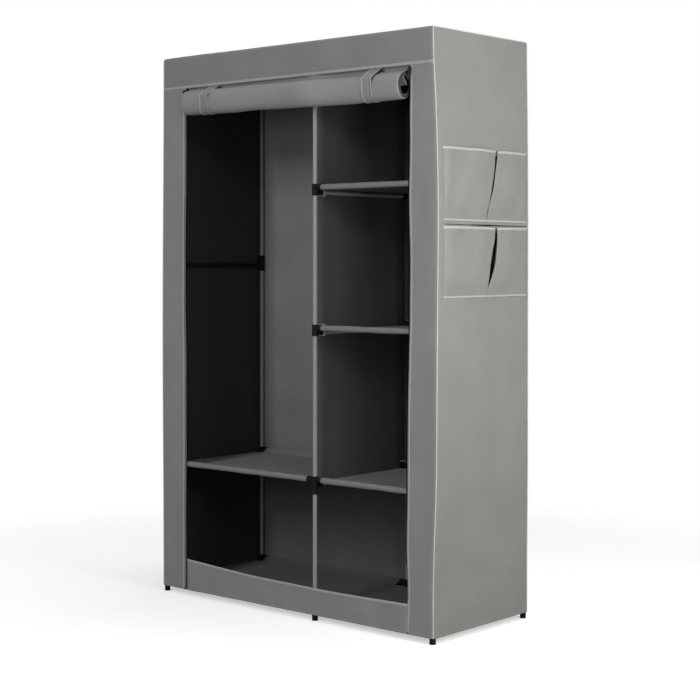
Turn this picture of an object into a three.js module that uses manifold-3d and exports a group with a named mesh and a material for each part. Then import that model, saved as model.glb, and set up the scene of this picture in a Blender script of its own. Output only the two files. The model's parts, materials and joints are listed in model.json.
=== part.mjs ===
// Portable fabric wardrobe: a steel tube frame with plastic connectors, cloth shelves,
// and a cloth cover whose front door is rolled up under the header and held by two ties.
// Millimetres, Z up, the front faces -Y. The last lines put the origin under the middle of the part.
import * as THREE from 'three';
import { mergeVertices } from 'three/addons/utils/BufferGeometryUtils.js';
import Module from 'manifold-3d';

const wasm = await Module();
wasm.setup();

// Cover
const coverWidth = 1100;
const coverDepth = 450;
const coverHeight = 1700;
const clothThickness = 1.2;
const seatGap = 0.3;
const hemHeight = 18;
const headerHeight = 102;
const leftJambWidth = 108;
const rightJambWidth = 85;
const skirtHeight = 88;
const skirtEndGap = 6;

// Frame tubes and connectors
const tubeDiameter = 13;
const tubeWall = 0.8;
const tubeSides = 12;
const boreSides = 8;
const socketDiameter = 18;
const socketReach = 27;
const hubReach = 17;
const mainHubDrop = 35;
const sideHubReach = 26;
const armStep = 14;
const footSole = 6;
const capRise = 20;
const capTaper = 9;
const capEndRadius = 4;
const tubeEndGap = 1;
const leftBay = 640;
const cutOverrun = 2;

// Heights of the frame's levels, each halfway between its cross arms and its depth arms
const bottomLevel = 38;
const mainLevel = 405;
const middleLevel = 850;
const leftSideLevel = 1046;
const upperLevel = 1262;

// Hanging rail and the tee sockets that carry it
const teeReach = 26;
const teeHalfWidth = 12;
const teeStop = 9;

// Divider between the two bays
const dividerSetBack = 54;

// Rolled door
const rollHeight = 80;
const rollDepth = 64;
const rollDrop = 57;
const doorEndGap = 1.5;
const rollShortfall = 30;
const rollCloth = 0.85;
const rollPitch = 1.8;
const rollTurns = 8.25;
const rollSteps = 24;
const sheetLap = 12;

// Ties that hold the roll
const tieWidth = 43;
const tieThickness = 1;
const tieEndGap = 112;
const tieRightEndGap = 98;
const tieTabTurnShare = 0.3;
const tieTailTurnShare = 1.17;

// Zips at the jambs' inner edges
const zipWidth = 3;
const zipProud = 1.5;
const sliderHeight = 20;
const sliderWidth = 9.5;
const sliderDepth = 4.5;
const sliderDrop = 6;
const sliderOverhang = 0.75;
const lugWidth = 3;
const lugHeight = 6;
const lugDepth = 4;
const pinRadius = 1;
const pullWidth = 8;
const pullLength = 30;
const pullThickness = 1.4;
const pullEyeLength = 8;

// Pockets on the right side
const pocketDepth = 7;
const pocketSlope = 12;
const pocketFrontInset = 23;
const pocketBackInset = 13;
const pocketPleatPlace = 285;
const upperPocketBottom = 1164;
const upperPocketHeight = 204;
const lowerPocketBottom = 950;
const lowerPocketHeight = 198;

// Sizes that follow from those above
const tubeRadius = tubeDiameter / 2;
const socketRadius = socketDiameter / 2;
const boreRadius = tubeRadius + seatGap;
const sleeveRadius = boreRadius + clothThickness;
const postInset = clothThickness + seatGap + socketRadius;
const leftX = -coverWidth / 2 + postInset;
const rightX = coverWidth / 2 - postInset;
const middleX = leftX + leftBay;
const frontY = -coverDepth / 2 + postInset;
const backY = coverDepth / 2 - postInset;
const coverTopInside = coverHeight - clothThickness - seatGap;
const topLevel = coverTopInside - capRise;
const frontFace = -coverDepth / 2;
const frontInside = frontFace + clothThickness;
const headerBottom = coverHeight - headerHeight;
const openingLeft = -coverWidth / 2 + leftJambWidth;
const openingRight = coverWidth / 2 - rightJambWidth;
const crossHeight = (level) => level + armStep / 2;
const depthHeight = (level) => level - armStep / 2;
const sheetBottomHeight = (level) => depthHeight(level) + tubeRadius + seatGap;

// Materials
const finish = (color, roughness, metalness) => (
  new THREE.MeshStandardMaterial({ color, roughness, metalness })
);
const coverCloth = finish(0x75746f, 0.95, 0);
const sideCloth = finish(0x96958f, 0.95, 0);
const innerCloth = finish(0x6a6965, 0.95, 0);
const tubeSteel = finish(0x8f9190, 0.45, 0.6);
const blackPlastic = finish(0x17181a, 0.5, 0);
const zipMetal = finish(0x2c2d2e, 0.35, 0.8);

// Helpers
const xAxis = new THREE.Vector3(1, 0, 0);
const yAxis = new THREE.Vector3(0, 1, 0);
const zAxis = new THREE.Vector3(0, 0, 1);
const at = (x, y, z) => new THREE.Vector3(x, y, z);

// Turns a closed geometry into a solid for joining and cutting.
function solidOf(geometry) {
  geometry.deleteAttribute('normal');
  geometry.deleteAttribute('uv');
  const merged = mergeVertices(geometry);
  return new wasm.Manifold(new wasm.Mesh({
    numProp: 3,
    vertProperties: new Float32Array(merged.attributes.position.array),
    triVerts: new Uint32Array(merged.index.array),
  }));
}

// A box from its lowest corner to its highest one.
function box(low, high) {
  const size = high.clone().sub(low);
  const geometry = new THREE.BoxGeometry(size.x, size.y, size.z);
  const centre = low.clone().add(high).multiplyScalar(1 / 2);
  return solidOf(geometry.translate(centre.x, centre.y, centre.z));
}

// A round bar between two places, with a corner of its section on each axis. It may taper to another radius.
function bar(radius, sides, from, to, endRadius = radius) {
  const way = to.clone().sub(from);
  const geometry = new THREE.CylinderGeometry(endRadius, radius, way.length(), sides);
  geometry.applyQuaternion(new THREE.Quaternion().setFromUnitVectors(yAxis, way.clone().normalize()));
  const centre = from.clone().add(to).multiplyScalar(1 / 2);
  return solidOf(geometry.translate(centre.x, centre.y, centre.z));
}

// A bore whose flat sides clear a round bar of the given radius.
function bore(radius, from, to) {
  return bar(radius / Math.cos(Math.PI / boreSides), boreSides, from, to);
}

const joined = (solids) => solids.reduce((sum, next) => sum.add(next));
const cut = (solid, tools) => tools.reduce((left, tool) => left.subtract(tool), solid);

const wardrobe = new THREE.Group();

// Adds a solid to the wardrobe as a named mesh.
function addSolid(name, solid, material) {
  const data = solid.getMesh();
  const geometry = new THREE.BufferGeometry();
  geometry.setAttribute('position', new THREE.BufferAttribute(data.vertProperties, 3));
  geometry.setIndex(new THREE.BufferAttribute(data.triVerts, 1));
  geometry.computeVertexNormals();
  const mesh = new THREE.Mesh(geometry, material);
  mesh.name = name;
  wardrobe.add(mesh);
}

// The outline of a strip of cloth that follows a path, as an extruded solid along X.
function strip(path, thickness, fromX, toX) {
  const outer = [];
  const inner = [];
  path.forEach((point, i) => {
    const before = path[Math.max(i - 1, 0)];
    const after = path[Math.min(i + 1, path.length - 1)];
    const way = after.clone().sub(before).normalize();
    const side = new THREE.Vector2(-way.y, way.x).multiplyScalar(thickness / 2);
    outer.push(point.clone().add(side));
    inner.push(point.clone().sub(side));
  });
  const shape = new THREE.Shape([...outer, ...inner.reverse()]);
  const geometry = new THREE.ExtrudeGeometry(shape, { depth: toX - fromX, bevelEnabled: false });
  geometry.applyMatrix4(new THREE.Matrix4().makeBasis(yAxis, zAxis, xAxis));
  return solidOf(geometry.translate(fromX, 0, 0));
}

// Frame
// One rung is a depth tube with the connector at each of its ends. They share a node
// because the part has more pieces than it may have nodes. A cap tapers to the flat that carries the cover.
function rung(x, level, armSides, ends = {}) {
  const { foot = false, cap = false, railSide = 0, rise = hubReach, drop = hubReach } = ends;
  const crossZ = crossHeight(level);
  const depthZ = depthHeight(level);
  const bottom = foot ? 0 : level - drop;
  const top = cap ? coverTopInside : level + rise;
  const boreBottom = foot ? footSole : bottom - cutOverrun;
  const wallTop = cap ? top - capTaper : top;
  const boreTop = cap ? wallTop : top + cutOverrun;
  const bodies = [bar(tubeRadius, tubeSides, at(x, frontY, depthZ), at(x, backY, depthZ))];
  const bores = [bore(tubeRadius - tubeWall, at(x, frontY, depthZ), at(x, backY, depthZ))];
  for (const [y, inward] of [[frontY, 1], [backY, -1]]) {
    bodies.push(bar(socketRadius, tubeSides, at(x, y, bottom), at(x, y, wallTop)));
    if (cap) {
      bodies.push(bar(socketRadius, tubeSides, at(x, y, wallTop), at(x, y, top), capEndRadius));
    }
    bodies.push(bar(socketRadius, tubeSides, at(x, y, depthZ), at(x, y + inward * socketReach, depthZ)));
    bores.push(bore(boreRadius, at(x, y, boreBottom), at(x, y, boreTop)));
    for (const side of armSides) {
      const armEnd = at(x + side * socketReach, y, crossZ);
      const boreEnd = at(x + side * (socketReach + cutOverrun), y, crossZ);
      bodies.push(bar(socketRadius, tubeSides, at(x, y, crossZ), armEnd));
      bores.push(bore(boreRadius, at(x, y, crossZ), boreEnd));
    }
  }
  if (railSide !== 0) {
    bodies.push(bar(socketRadius, tubeSides, at(x, -teeHalfWidth, depthZ), at(x, teeHalfWidth, depthZ)));
    bodies.push(bar(socketRadius, tubeSides, at(x, 0, depthZ), at(x + railSide * teeReach, 0, depthZ)));
  }
  const body = cut(joined(bodies), bores);
  if (railSide === 0) {
    return body;
  }
  const railBoreEnd = at(x + railSide * (teeReach + cutOverrun), 0, depthZ);
  return cut(body, [bore(boreRadius, at(x + railSide * teeStop, 0, depthZ), railBoreEnd)]);
}

// A round steel tube, open at both ends.
function tube(from, to) {
  const way = to.clone().sub(from).normalize().multiplyScalar(cutOverrun);
  const hollow = bore(tubeRadius - tubeWall, from.clone().sub(way), to.clone().add(way));
  return bar(tubeRadius, tubeSides, from, to).subtract(hollow);
}

const sideLevels = {
  bottom: bottomLevel,
  main: mainLevel,
  middle: middleLevel,
  upper: upperLevel,
  top: topLevel,
};
const endOf = (level) => ({
  foot: level === bottomLevel,
  cap: level === topLevel,
  drop: level === mainLevel ? mainHubDrop : hubReach,
});

for (const [levelName, level] of Object.entries({ bottom: bottomLevel, main: mainLevel, top: topLevel })) {
  const railSide = level === topLevel ? 1 : 0;
  addSolid(`rung_left_${levelName}`, rung(leftX, level, [1], { ...endOf(level), railSide }), blackPlastic);
}
const sideHub = { rise: sideHubReach, drop: sideHubReach };
addSolid('rung_left_side', rung(leftX, leftSideLevel, [], sideHub), blackPlastic);
for (const [levelName, level] of Object.entries(sideLevels)) {
  const bothBays = level === bottomLevel || level === mainLevel || level === topLevel;
  const armSides = bothBays ? [-1, 1] : [1];
  const railSide = level === topLevel ? -1 : 0;
  const middleRung = rung(middleX, level, armSides, { ...endOf(level), railSide });
  addSolid(`rung_middle_${levelName}`, middleRung, blackPlastic);
  addSolid(`rung_right_${levelName}`, rung(rightX, level, [-1], endOf(level)), blackPlastic);
}

const rows = { front: frontY, back: backY };
const postBottom = footSole + seatGap;
const postTop = coverTopInside - capTaper - seatGap;
for (const [rowName, y] of Object.entries(rows)) {
  for (const [sideName, x] of Object.entries({ left: leftX, middle: middleX, right: rightX })) {
    addSolid(`post_${rowName}_${sideName}`, tube(at(x, y, postBottom), at(x, y, postTop)), tubeSteel);
  }
  const bays = { left: [leftX, middleX], right: [middleX, rightX] };
  for (const [levelName, level] of Object.entries(sideLevels)) {
    for (const [bayName, [from, to]] of Object.entries(bays)) {
      if (bayName === 'left' && (level === middleLevel || level === upperLevel)) {
        continue;
      }
      const start = at(from + tubeRadius + tubeEndGap, y, crossHeight(level));
      const end = at(to - tubeRadius - tubeEndGap, y, crossHeight(level));
      addSolid(`cross_${levelName}_${rowName}_${bayName}`, tube(start, end), tubeSteel);
    }
  }
}
const railHeight = depthHeight(topLevel);
const railStart = at(leftX + teeStop + seatGap, 0, railHeight);
const railEnd = at(middleX - teeStop - seatGap, 0, railHeight);
addSolid('hanging_rail', tube(railStart, railEnd), tubeSteel);

// Cloth shelves
// A shelf is a flat sheet on the depth tubes, sewn round the front and back cross tubes of each bay.
function shelf(level, bays) {
  const crossZ = crossHeight(level);
  const low = sheetBottomHeight(level);
  const high = low + clothThickness;
  const armClear = socketReach + seatGap;
  const sheets = [box(
    at(bays[0][0] - tubeRadius, frontY + armClear, low),
    at(bays[bays.length - 1][1] + tubeRadius, backY - armClear, high),
  )];
  const bores = [];
  for (const [from, to] of bays) {
    const start = from + armClear;
    const end = to - armClear;
    sheets.push(box(at(start, frontY, low), at(end, backY, high)));
    for (const y of [frontY, backY]) {
      sheets.push(bar(sleeveRadius, tubeSides, at(start, y, crossZ), at(end, y, crossZ)));
      const boreStart = at(start - cutOverrun, y, crossZ);
      bores.push(bar(boreRadius, tubeSides, boreStart, at(end + cutOverrun, y, crossZ)));
    }
  }
  return cut(joined(sheets), bores);
}
const bothBays = [[leftX, middleX], [middleX, rightX]];
const rightBay = [[middleX, rightX]];
addSolid('floor', shelf(bottomLevel, bothBays), innerCloth);
addSolid('shelf_main', shelf(mainLevel, bothBays), innerCloth);
addSolid('shelf_middle', shelf(middleLevel, rightBay), innerCloth);
addSolid('shelf_upper', shelf(upperLevel, rightBay), innerCloth);

// The divider hangs from a sleeve round the top depth tube of the middle posts.
function divider() {
  const front = frontY + dividerSetBack;
  const back = backY - socketReach - seatGap;
  const tubeZ = depthHeight(topLevel);
  const low = sheetBottomHeight(mainLevel) + clothThickness + seatGap;
  const sheet = box(at(middleX - sleeveRadius, front, low), at(middleX - boreRadius, back, tubeZ));
  const sleeve = bar(sleeveRadius, tubeSides, at(middleX, front, tubeZ), at(middleX, back, tubeZ));
  const roomStart = at(middleX, front - cutOverrun, tubeZ);
  const tubeRoom = bar(boreRadius, tubeSides, roomStart, at(middleX, back + cutOverrun, tubeZ));
  const teeClear = socketRadius + seatGap;
  const teeRoom = box(
    at(middleX - teeClear, -teeHalfWidth - seatGap, tubeZ - teeClear),
    at(middleX + teeClear, teeHalfWidth + seatGap, tubeZ + teeClear),
  );
  return cut(joined([sheet, sleeve]), [tubeRoom, teeRoom]);
}
addSolid('divider', divider(), innerCloth);

// Cover
const sideInside = coverWidth / 2 - clothThickness;
const panelEnd = sideInside - seatGap;
addSolid('cover_top', box(
  at(-coverWidth / 2, frontFace, coverHeight - clothThickness),
  at(coverWidth / 2, coverDepth / 2, coverHeight),
), coverCloth);
addSolid('cover_left', box(
  at(-coverWidth / 2, frontFace, hemHeight),
  at(-sideInside, coverDepth / 2, coverTopInside),
), sideCloth);
addSolid('cover_right', box(
  at(sideInside, frontFace, hemHeight),
  at(coverWidth / 2, coverDepth / 2, coverTopInside),
), sideCloth);
addSolid('cover_back', box(
  at(-panelEnd, coverDepth / 2 - clothThickness, hemHeight),
  at(panelEnd, coverDepth / 2, coverTopInside),
), coverCloth);
const headerLow = at(-panelEnd, frontFace, headerBottom);
addSolid('header', box(headerLow, at(panelEnd, frontInside, coverTopInside)), coverCloth);

// Each jamb ends in a zip half that stands proud of its inner edge.
const skirtTop = hemHeight + skirtHeight;
const zipTop = headerBottom - seatGap;
const zipFront = frontFace - zipProud;
const jambs = {
  left: { edge: openingLeft, outward: -1 },
  right: { edge: openingRight, outward: 1 },
};
// A box between two places along X given in either order.
function spanBox(x1, x2, y1, y2, z1, z2) {
  return box(at(Math.min(x1, x2), y1, z1), at(Math.max(x1, x2), y2, z2));
}
for (const [sideName, { edge, outward }] of Object.entries(jambs)) {
  const panel = spanBox(edge, outward * panelEnd, frontFace, frontInside, hemHeight, zipTop);
  const zip = spanBox(edge, edge + outward * zipWidth, zipFront, frontInside, skirtTop, zipTop);
  addSolid(`jamb_${sideName}`, panel.add(zip), coverCloth);
}
addSolid('skirt', box(
  at(openingLeft + skirtEndGap, frontFace, hemHeight),
  at(openingRight - skirtEndGap, frontInside, skirtTop),
), coverCloth);

// Rolled door
const sheetFront = frontInside + seatGap;
const rollBack = sheetFront - tieThickness - 2 * seatGap;
const rollCentreY = rollBack - rollDepth / 2;
const rollCentreZ = headerBottom - rollDrop;
const doorLeft = openingLeft + doorEndGap;
const doorRight = openingRight - doorEndGap;
addSolid('door_sheet', box(
  at(doorLeft, sheetFront, rollCentreZ),
  at(doorRight, sheetFront + clothThickness, headerBottom + sheetLap),
), coverCloth);

// A place on an oval round the roll. A turn of 0 is its back, 1/4 its underside, 1/2 its front.
function rollPoint(turn, growth) {
  const angle = turn * 2 * Math.PI;
  const y = rollCentreY + (rollDepth / 2 + growth) * Math.cos(angle);
  const z = rollCentreZ - (rollHeight / 2 + growth) * Math.sin(angle);
  return new THREE.Vector2(y, z);
}
const rollPath = Array.from({ length: Math.round(rollTurns * rollSteps) + 1 }, (_, i) => {
  const turn = i / rollSteps;
  return rollPoint(turn, -rollCloth / 2 - turn * rollPitch);
});
addSolid('door_roll', strip(rollPath, rollCloth, doorLeft + rollShortfall, doorRight), coverCloth);

// The least gap between neighbouring turns of the roll, measured from each point to the next turn.
let leastGap = Infinity;
rollPath.slice(rollSteps).forEach((point, i) => {
  const from = rollPath[i];
  const nextOut = rollPath[i + 1];
  const way = nextOut.clone().sub(from);
  const along = Math.min(Math.max(point.clone().sub(from).dot(way) / way.lengthSq(), 0), 1);
  const nearest = from.clone().add(way.multiplyScalar(along));
  leastGap = Math.min(leastGap, nearest.distanceTo(point) - rollCloth);
});
console.log(`least gap between turns of the roll: ${leastGap.toFixed(3)} mm`);

// Each tie comes out of the seam under the header, over the front of the roll and round its back.
const tieGrowth = seatGap + tieThickness / 2;
const tieStart = new THREE.Vector2(frontInside - clothThickness / 2, headerBottom - seatGap - tieThickness);
const tieStepCount = Math.round((tieTailTurnShare - tieTabTurnShare) * rollSteps);
const tiePath = [tieStart];
for (let i = 0; i <= tieStepCount; i += 1) {
  const tabTurn = 1 - tieTabTurnShare;
  tiePath.push(rollPoint(tabTurn - i / rollSteps, tieGrowth));
}
const tieLeftEdge = openingLeft + tieEndGap;
const tieRightEdge = openingRight - tieRightEndGap;
addSolid('tie_left', strip(tiePath, tieThickness, tieLeftEdge, tieLeftEdge + tieWidth), coverCloth);
addSolid('tie_right', strip(tiePath, tieThickness, tieRightEdge - tieWidth, tieRightEdge), coverCloth);

// Zip sliders and their pulls
const sliderTop = headerBottom - sliderDrop;
const sliderBack = frontFace - seatGap;
const sliderFront = sliderBack - sliderDepth;
const pinY = sliderFront - lugDepth / 2;
const pinZ = sliderTop - lugHeight;
for (const [sideName, { edge, outward }] of Object.entries(jambs)) {
  const inner = edge - outward * sliderOverhang;
  const centre = inner + outward * (sliderWidth / 2);
  const outer = inner + outward * sliderWidth;
  const body = spanBox(inner, outer, sliderFront, sliderBack, sliderTop - sliderHeight, sliderTop);
  const lug = box(
    at(centre - lugWidth / 2, sliderFront - lugDepth, pinZ - lugHeight / 2),
    at(centre + lugWidth / 2, sliderFront, pinZ + lugHeight / 2),
  );
  const channel = spanBox(
    edge - outward * (sliderOverhang + cutOverrun),
    edge + outward * (zipWidth + seatGap),
    zipFront - seatGap, sliderBack + cutOverrun, sliderTop - sliderHeight - cutOverrun, sliderTop + cutOverrun,
  );
  const pinRoomStart = at(centre - lugWidth, pinY, pinZ);
  const pinRoom = bore(pinRadius + seatGap, pinRoomStart, at(centre + lugWidth, pinY, pinZ));
  addSolid(`zip_slider_${sideName}`, cut(joined([body, lug]), [channel, pinRoom]), zipMetal);

  const halfPull = pullWidth / 2;
  const plate = box(
    at(centre - halfPull, pinY - pullThickness / 2, pinZ - pullLength),
    at(centre + halfPull, pinY + pullThickness / 2, pinZ),
  );
  const eyeHalf = lugWidth / 2 + seatGap;
  const eye = box(
    at(centre - eyeHalf, pinY - pullThickness, pinZ - pullEyeLength),
    at(centre + eyeHalf, pinY + pullThickness, pinZ + cutOverrun),
  );
  const pin = bar(pinRadius, boreSides, at(centre - halfPull, pinY, pinZ), at(centre + halfPull, pinY, pinZ));
  addSolid(`zip_pull_${sideName}`, plate.subtract(eye).add(pin), zipMetal);
}

// Pockets
// A closed shell between an inner and an outer sheet, both given on the same grid of places.
function sheetShell(columnCount, rowCount, innerAt, outerAt) {
  const positions = [];
  const corner = (sheet, i, j) => (sheet * rowCount + j) * columnCount + i;
  for (const placeAt of [innerAt, outerAt]) {
    for (let j = 0; j < rowCount; j += 1) {
      for (let i = 0; i < columnCount; i += 1) {
        positions.push(...placeAt(i, j).toArray());
      }
    }
  }
  const triangles = [];
  const quad = (a, b, c, d) => triangles.push(a, b, c, a, c, d);
  for (let j = 0; j + 1 < rowCount; j += 1) {
    for (let i = 0; i + 1 < columnCount; i += 1) {
      quad(corner(1, i, j), corner(1, i + 1, j), corner(1, i + 1, j + 1), corner(1, i, j + 1));
      quad(corner(0, i, j), corner(0, i, j + 1), corner(0, i + 1, j + 1), corner(0, i + 1, j));
    }
  }
  const lastColumn = columnCount - 1;
  const lastRow = rowCount - 1;
  for (let i = 0; i + 1 < columnCount; i += 1) {
    quad(corner(0, i, 0), corner(0, i + 1, 0), corner(1, i + 1, 0), corner(1, i, 0));
    quad(corner(1, i, lastRow), corner(1, i + 1, lastRow), corner(0, i + 1, lastRow), corner(0, i, lastRow));
  }
  for (let j = 0; j + 1 < rowCount; j += 1) {
    quad(corner(1, 0, j), corner(1, 0, j + 1), corner(0, 0, j + 1), corner(0, 0, j));
    quad(corner(0, lastColumn, j), corner(0, lastColumn, j + 1), corner(1, lastColumn, j + 1), corner(1, lastColumn, j));
  }
  const geometry = new THREE.BufferGeometry();
  geometry.setAttribute('position', new THREE.Float32BufferAttribute(positions, 3));
  geometry.setIndex(triangles);
  return solidOf(geometry);
}

// A row of two pockets, open at the top, sewn down at both ends, along the bottom and at the pleat.
function pocketRow(bottom, height) {
  const start = frontFace + pocketFrontInset;
  const end = coverDepth / 2 - pocketBackInset;
  const pleat = frontFace + pocketPleatPlace;
  const columns = [
    [start, 0], [start + pocketSlope, pocketDepth], [pleat - pocketSlope, pocketDepth], [pleat, 0],
    [pleat + pocketSlope, pocketDepth], [end - pocketSlope, pocketDepth], [end, 0],
  ];
  const levels = [[bottom, 0], [bottom + pocketSlope, pocketDepth], [bottom + height, pocketDepth]];
  const placeAt = (lift) => (i, j) => {
    const stand = Math.min(columns[i][1], levels[j][1]);
    return at(coverWidth / 2 + seatGap + stand + lift, columns[i][0], levels[j][0]);
  };
  return sheetShell(columns.length, levels.length, placeAt(0), placeAt(clothThickness));
}
addSolid('pocket_row_upper', pocketRow(upperPocketBottom, upperPocketHeight), sideCloth);
addSolid('pocket_row_lower', pocketRow(lowerPocketBottom, lowerPocketHeight), sideCloth);

// Put the origin on the floor, under the middle of the part.
wardrobe.updateMatrixWorld(true);
const reach = new THREE.Box3().setFromObject(wardrobe);
const middle = reach.getCenter(new THREE.Vector3());
wardrobe.position.set(-middle.x, -middle.y, -reach.min.z);

export default wardrobe;
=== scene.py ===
import json
import math

import bpy
import numpy as np
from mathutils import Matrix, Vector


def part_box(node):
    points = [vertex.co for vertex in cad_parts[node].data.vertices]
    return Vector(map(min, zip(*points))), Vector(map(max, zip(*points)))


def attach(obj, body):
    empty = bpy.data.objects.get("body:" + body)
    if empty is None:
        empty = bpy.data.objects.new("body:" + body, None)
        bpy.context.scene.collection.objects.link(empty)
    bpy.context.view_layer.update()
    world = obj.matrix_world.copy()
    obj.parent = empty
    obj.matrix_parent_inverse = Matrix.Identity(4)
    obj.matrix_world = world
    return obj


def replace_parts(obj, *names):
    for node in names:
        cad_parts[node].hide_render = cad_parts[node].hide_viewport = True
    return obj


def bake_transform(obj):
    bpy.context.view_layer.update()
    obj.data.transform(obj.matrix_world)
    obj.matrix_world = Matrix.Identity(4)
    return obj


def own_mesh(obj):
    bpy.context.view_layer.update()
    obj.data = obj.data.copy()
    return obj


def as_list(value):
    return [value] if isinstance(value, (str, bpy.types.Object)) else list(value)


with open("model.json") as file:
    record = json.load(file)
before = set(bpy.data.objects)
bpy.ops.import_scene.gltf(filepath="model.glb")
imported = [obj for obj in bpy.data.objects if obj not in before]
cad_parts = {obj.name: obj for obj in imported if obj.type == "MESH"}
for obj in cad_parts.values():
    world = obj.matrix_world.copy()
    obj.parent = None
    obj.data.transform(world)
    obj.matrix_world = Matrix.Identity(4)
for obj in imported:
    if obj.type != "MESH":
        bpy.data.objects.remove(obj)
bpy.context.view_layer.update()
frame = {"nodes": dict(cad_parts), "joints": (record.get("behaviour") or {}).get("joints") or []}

# Portable fabric wardrobe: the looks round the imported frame. Metres, Z up, the front faces -Y.


# The middle of a node's box along one axis.
def middle_of(name, axis):
    return sum(getattr(corner, axis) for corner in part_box(name)) / 2


# Places read from the frame
mm = 0.001
top_low, top_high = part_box("cover_top")
left, front, back, right, top = top_low.x, top_low.y, top_high.y, top_high.x, top_high.z
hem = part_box("cover_right")[0].z
header_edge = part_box("header")[0].z
opening_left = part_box("jamb_left")[1].x
opening_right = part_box("jamb_right")[0].x
skirt_low, skirt_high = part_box("skirt")
roll_low, roll_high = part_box("door_roll")
sheet_low, sheet_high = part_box("door_sheet")
post_low, post_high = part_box("post_front_left")
row_front, row_back = middle_of("post_front_left", "y"), middle_of("post_back_left", "y")
column = {side: middle_of(f"post_front_{side}", "x") for side in ("left", "middle", "right")}
tube_radius = (post_high.x - post_low.x) / 2
depth_size, width_size, cover_height = back - front, right - left, top - hem

# Small sizes of the cloth and the connectors
cloth_thickness = 0.8 * mm
edge_radius = 10 * mm
socket_reach = 27 * mm
tee_half = 12.05 * mm
stitch_length, stitch_width = 3.4 * mm, 0.45 * mm
rib_pitch = 0.9 * mm


# Smooth value noise from -1 to 1 on a lattice of unit cells.
def noise(a, b, seed):
    a, b = np.broadcast_arrays(np.asarray(a, float), np.asarray(b, float))
    lattice = np.random.default_rng(seed).uniform(-1, 1, (97, 97))
    i, j = np.floor(a).astype(int), np.floor(b).astype(int)
    s, t = a - i, b - j
    s, t = s**3 * (s * (6 * s - 15) + 10), t**3 * (t * (6 * t - 15) + 10)
    low = lattice[i % 97, j % 97] * (1 - s) + lattice[(i + 1) % 97, j % 97] * s
    high = lattice[i % 97, (j + 1) % 97] * (1 - s) + lattice[(i + 1) % 97, (j + 1) % 97] * s
    return low * (1 - t) + high * t


# From 0 to 1 with soft ends, as x goes from start to end, up or down.
def ease(x, start, end):
    t = np.clip((np.asarray(x, float) - start) / (end - start), 0, 1)
    return t * t * (3 - 2 * t)


# A soft hump of height 1 at a place.
def hump(x, place, width):
    return np.exp(-(((x - place) / width) ** 2))


def unit(v):
    return v / np.maximum(np.linalg.norm(v, axis=-1, keepdims=True), 1e-12)


# A smooth curve through a few places, given as (where, value) pairs.
def curve_through(pairs, x):
    where, value = np.array(pairs, float).T
    order = np.argsort(where)
    where, value = where[order], value[order]
    slope = np.gradient(value, where)
    x = np.clip(x, where[0], where[-1])
    i = np.clip(np.searchsorted(where, x) - 1, 0, len(where) - 2)
    h = where[i + 1] - where[i]
    t = (x - where[i]) / h
    return (
        value[i] * (1 + 2 * t) * (1 - t) ** 2 + slope[i] * h * t * (1 - t) ** 2
        + value[i + 1] * t * t * (3 - 2 * t) + slope[i + 1] * h * t * t * (t - 1)
    )


# Stops from low to high, about one step apart, closer together near both ends.
def stops(low, high, step, ends=(2, 4, 6, 8, 11, 15, 22), extra=()):
    inner = np.linspace(low, high, max(2, int(round((high - low) / step)) + 1))
    near = [low + e * mm for e in ends] + [high - e * mm for e in ends] + list(extra)
    if ends:
        keep = (inner > low + ends[-1] * mm + step / 3) & (inner < high - ends[-1] * mm - step / 3)
        inner = np.concatenate([[low, high], inner[keep]])
    return np.unique(np.round(np.concatenate([inner, near]), 7))


# How far along a line each of its places lies.
def run_along(line):
    return np.concatenate([[0], np.linalg.norm(np.diff(line, axis=0), axis=1).cumsum()])


# The flat places of a grid, from its two rows of distances.
def flat_grid(us, vs):
    return np.stack(np.broadcast_arrays(us[:, None], vs[None]), -1)


def add_object(name, data):
    made = bpy.data.objects.new(name, data)
    bpy.context.scene.collection.objects.link(made)
    return made


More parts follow.
